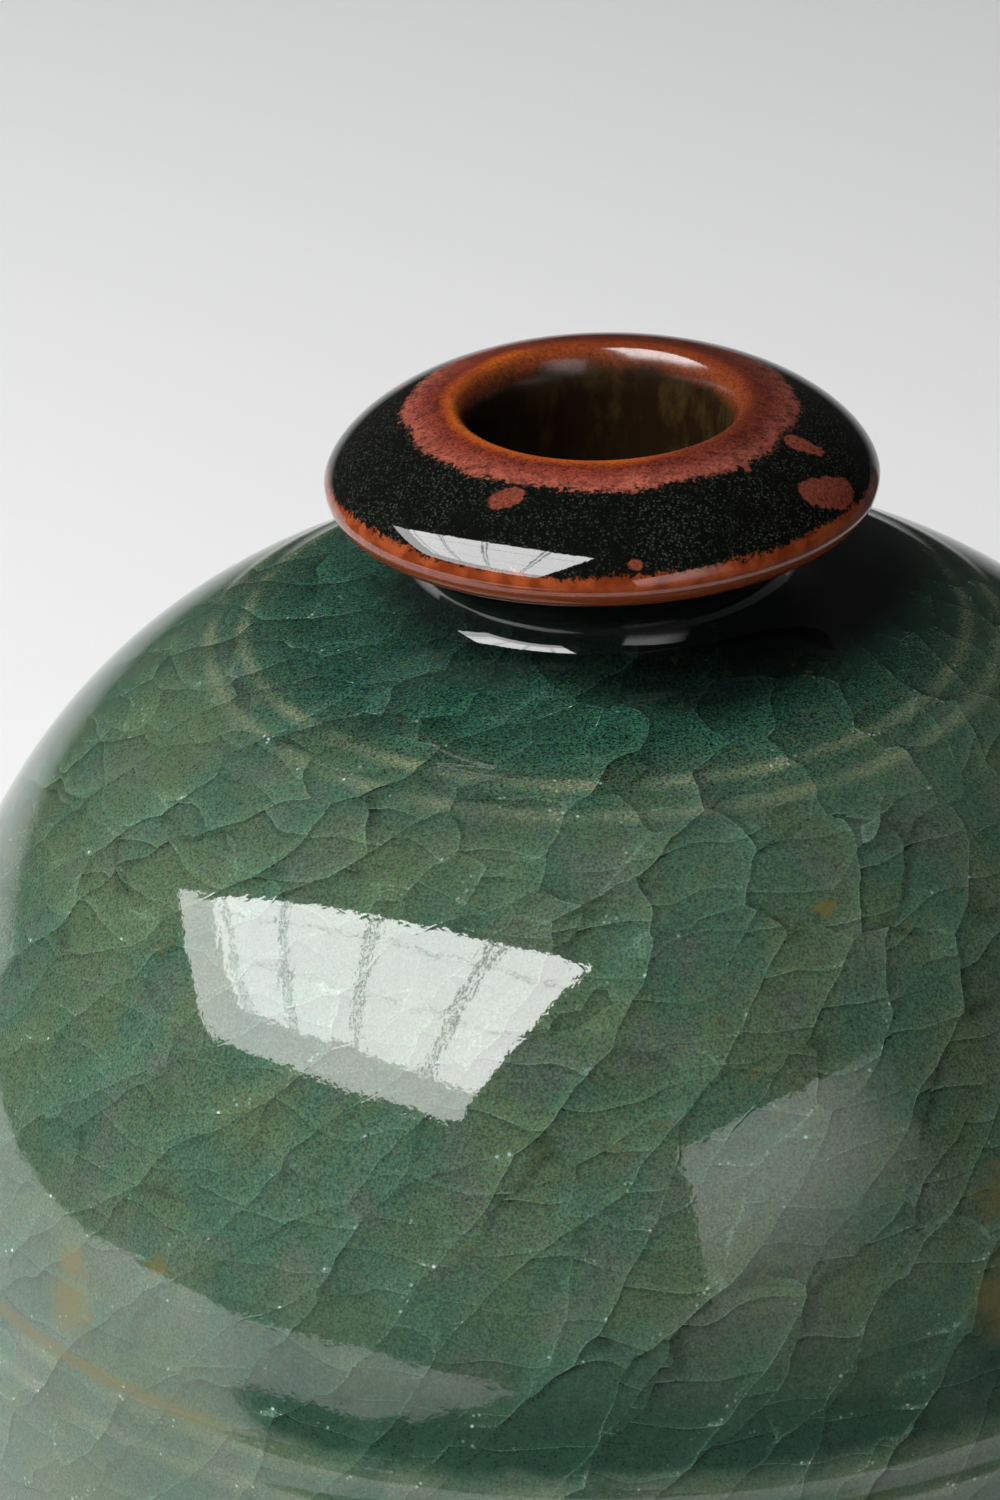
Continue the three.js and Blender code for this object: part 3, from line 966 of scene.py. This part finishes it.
def on_skylight(along, down, lift=0):
    """A point of the skylight, by its way from left to right and from far to near, both from 0 to 1."""
    far = FAR_LEFT + (FAR_RIGHT - FAR_LEFT) * along
    near = NEAR_LEFT + (NEAR_RIGHT - NEAR_LEFT) * along
    x, y = far + (near - far) * down
    return (x, y, SKYLIGHT_Z + lift)


def skylight_panes():
    columns = [0, *MULLIONS, 1]
    rows = [0, *CROSS_BARS, 1]
    panes = []
    for column, next_column in zip(columns, columns[1:]):
        left = column + MULLION_HALF * (column > 0)
        right = next_column - MULLION_HALF * (next_column < 1)
        for row, next_row in zip(rows, rows[1:]):
            top = row + CROSS_HALF * (row > 0)
            bottom = next_row - CROSS_HALF * (next_row < 1)
            corners = ((left, top), (right, top), (right, bottom), (left, bottom))
            panes.append([on_skylight(along, down) for along, down in corners])
    return panes


def level(point):
    return (*point, SKYLIGHT_Z)


# The bars are one face behind the panes, seen through the gaps between them
BARS_LIFT = 2
BARS = [[on_skylight(along, down, BARS_LIFT) for along, down in ((0, 0), (1, 0), (1, 1), (0, 1))]]
SHAFT = [
    [level(FAR_LEFT), level(NEAR_LEFT), level(SHAFT_NEAR_LEFT), level(SHAFT_FAR_LEFT)],
    [level(NEAR_LEFT), level(NEAR_RIGHT), level(SHAFT_NEAR_RIGHT), level(SHAFT_NEAR_LEFT)],
]
SIDE_WINDOW_Y = -1000
SIDE_WINDOW_CORNERS = [(172, 606), (1250, 1190), (1250, 0), (236, 0)]
SIDE_WINDOW = [[(x, SIDE_WINDOW_Y, z) for x, z in SIDE_WINDOW_CORNERS]]

# The table that the glaze mirrors: its left edge steps in further back, and its near edge runs askew
TABLE_LEFT_X = -595
TABLE_LEFT_STEP = 165
TABLE_NEAR_ASKEW = 0.35
TABLE_NEAR_Y = (-620.0, -560.0)

# A dim patch of floor in front of the vase, outside a ring round it, seen only in the glaze
DIM_PATCH_LEFT_X = -180
DIM_PATCH_LEFT_STEP = 60
DIM_PATCH_RING_R = (185.0, 222.0)
DIM_PATCH_BACK_Y = (-172.0, -145.0)

DIM_LIGHT = 0.08
DIM_FLOOR_Z = 1


def dim_floor_recipe(finish):
    """What only the glaze sees: the floor is dim past the table's edges and on a patch in front of the
    vase.
    """
    x, y, _ = finish.apart(finish.place())
    reach = (x * x + y * y) ** 0.5
    left_edge = TABLE_LEFT_X + TABLE_LEFT_STEP * finish.ease(y, -190.0, 60.0)
    on_table = finish.ease(x - left_edge, -20.0, 20.0)
    on_table = on_table * finish.ease(y - TABLE_NEAR_ASKEW * x, *TABLE_NEAR_Y)
    dim_patch_left = DIM_PATCH_LEFT_X - DIM_PATCH_LEFT_STEP * finish.ease(y, -330.0, -200.0)
    dim_patch = finish.ease(x - dim_patch_left, -12.0, 12.0) * finish.ease(reach, *DIM_PATCH_RING_R)
    dim_patch = dim_patch * finish.most(1 - finish.ease(y, *DIM_PATCH_BACK_Y), finish.ease(x, 60.0, 120.0))
    behind_left = finish.ease(y + 0.7 * x, -20.0, 20.0) * (1 - finish.ease(x, -100.0, 0.0))
    behind_right = finish.ease(y - 1.5 * x, 0.0, 60.0) * finish.ease(x, -100.0, 0.0)
    dim = finish.most(finish.most(dim_patch, 1 - on_table), 0.3 * (1 - finish.ease(y, -420.0, -160.0)))
    dim = dim * (1 - finish.most(behind_left, behind_right))
    clear = finish.node("ShaderNodeBsdfTransparent")
    light = finish.node("ShaderNodeEmission", sockets={"Color": WHITE, "Strength": DIM_LIGHT})
    seen = finish.node("ShaderNodeMixShader", sockets={0: dim, 1: clear, 2: light})
    finish.node("ShaderNodeOutputMaterial", sockets={"Surface": seen})


def floor_face(height):
    corners = [(-1, -1), (1, -1), (1, 1), (-1, 1)]
    return [[(x * FLOOR_HALF, y * FLOOR_HALF, height) for x, y in corners]]


floor = flat("table", floor_face(0), finished("pale_table", table_recipe))
glass = flat("skylight_panes", skylight_panes(), finished("skylight_glass", light_recipe, GLASS_LIGHT))
bars = flat("skylight_bars", BARS, finished("skylight_bars", light_recipe, BAR_LIGHT))
shaft = flat("skylight_shaft", SHAFT, finished("shaft_wall", light_recipe, SHAFT_LIGHT))
side_window = flat("side_window", SIDE_WINDOW, finished("side_window", side_window_recipe))
dim_floor = flat("dim_floor", floor_face(DIM_FLOOR_Z), finished("dim_floor", dim_floor_recipe))
for lamp in (glass, bars, shaft, side_window, dim_floor):
    lamp.visible_camera = False
    lamp.visible_shadow = False
for only_mirrored in (side_window, dim_floor):
    only_mirrored.visible_diffuse = False


ROOM_PALE = 0.8
ROOM_DIM = 0.03
ROOM_LEAN = 0.02


def room_recipe(finish):
    """A dim room, a little lighter to the left; where the floor ends the camera sees it pale."""
    way = finish.node("ShaderNodeTexCoord", output="Generated")
    dim = ROOM_DIM - ROOM_LEAN * finish.apart(way)[0]
    camera_sees = finish.node("ShaderNodeLightPath", output="Is Camera Ray")
    shown = camera_sees * ROOM_PALE + (1 - camera_sees) * dim
    light = finish.node("ShaderNodeBackground", sockets={"Color": shown, "Strength": 1.0})
    finish.node("ShaderNodeOutputWorld", sockets={"Surface": light})


def camera():
    """Looks down at the collar from the front, where the middle of its nose falls on the chosen pixel."""
    pitch, roll = math.radians(CAMERA_PITCH), math.radians(CAMERA_ROLL)
    ahead = Vector((0, math.cos(pitch), -math.sin(pitch)))
    level_up = Vector((0, math.sin(pitch), math.cos(pitch)))
    level_right = Vector((1, 0, 0))
    right = math.cos(roll) * level_right + math.sin(roll) * level_up
    up = math.cos(roll) * level_up - math.sin(roll) * level_right
    pixels = LENS / SENSOR * PICTURE_HIGH
    over = (AIM_PIXEL_X - PICTURE_WIDE / 2) / pixels
    down = (AIM_PIXEL_Y - PICTURE_HIGH / 2) / pixels
    aim = Vector((0, 0, AIM_Z))
    eye = aim - CAMERA_DISTANCE * (ahead + right * over - up * down)
    lens = bpy.data.cameras.new("camera")
    lens.lens = LENS
    lens.sensor_fit = "VERTICAL"
    lens.sensor_height = SENSOR
    lens.clip_start = 10 * MM
    holder = bpy.data.objects.new("camera", lens)
    turn = Matrix((right, up, -ahead)).transposed().to_4x4()
    holder.matrix_world = Matrix.Translation(eye * MM) @ turn
    bpy.context.scene.collection.objects.link(holder)
    bpy.context.scene.camera = holder


room = bpy.data.worlds.new("room")
room.use_nodes = True
room_recipe(Finish(room.node_tree))
bpy.context.scene.world = room
camera()
bpy.context.scene.view_settings.view_transform = "Standard"

bpy.context.view_layer.update()
